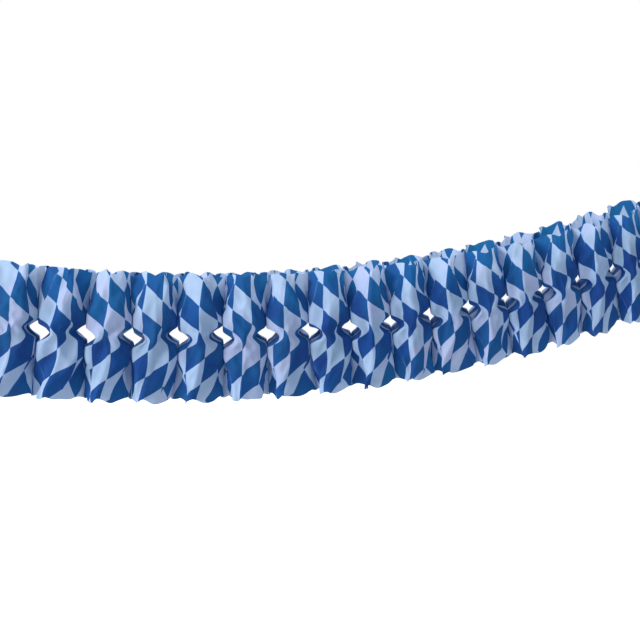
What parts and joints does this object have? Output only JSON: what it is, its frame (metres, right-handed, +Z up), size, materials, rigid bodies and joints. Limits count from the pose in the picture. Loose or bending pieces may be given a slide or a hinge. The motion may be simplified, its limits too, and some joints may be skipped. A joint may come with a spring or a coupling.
{
  "type": "tissue paper garland",
  "caption": "Hanging run of scalloped tissue paper sleeves in a blue and white lozenge print, glued wall to wall, with a card at each end.",
  "frame": {"origin": "middle of the left end card's outer face, where the garland is pinned up", "axes": "+X along the garland from left to right, -Y towards the front of the picture, +Z up as it hangs"},
  "size_m": [0.997, 0.1137, 0.2784],
  "materials": {
    "tissue": "matte printed tissue paper",
    "card": "uncoated card"
  },
  "bodies": {
    "root": {"sleeve_01": "tissue", "sleeve_02": "tissue", "sleeve_03": "tissue", "sleeve_04": "tissue", "sleeve_05": "tissue", "sleeve_06": "tissue", "sleeve_07": "tissue", "sleeve_08": "tissue", "sleeve_09": "tissue", "sleeve_10": "tissue", "sleeve_11": "tissue", "sleeve_12": "tissue", "sleeve_13": "tissue", "sleeve_14": "tissue", "sleeve_15": "tissue", "sleeve_16": "tissue", "sleeve_17": "tissue", "sleeve_18": "tissue", "end_card_left": "card", "end_card_right": "card"}
  },
  "joints": []
}
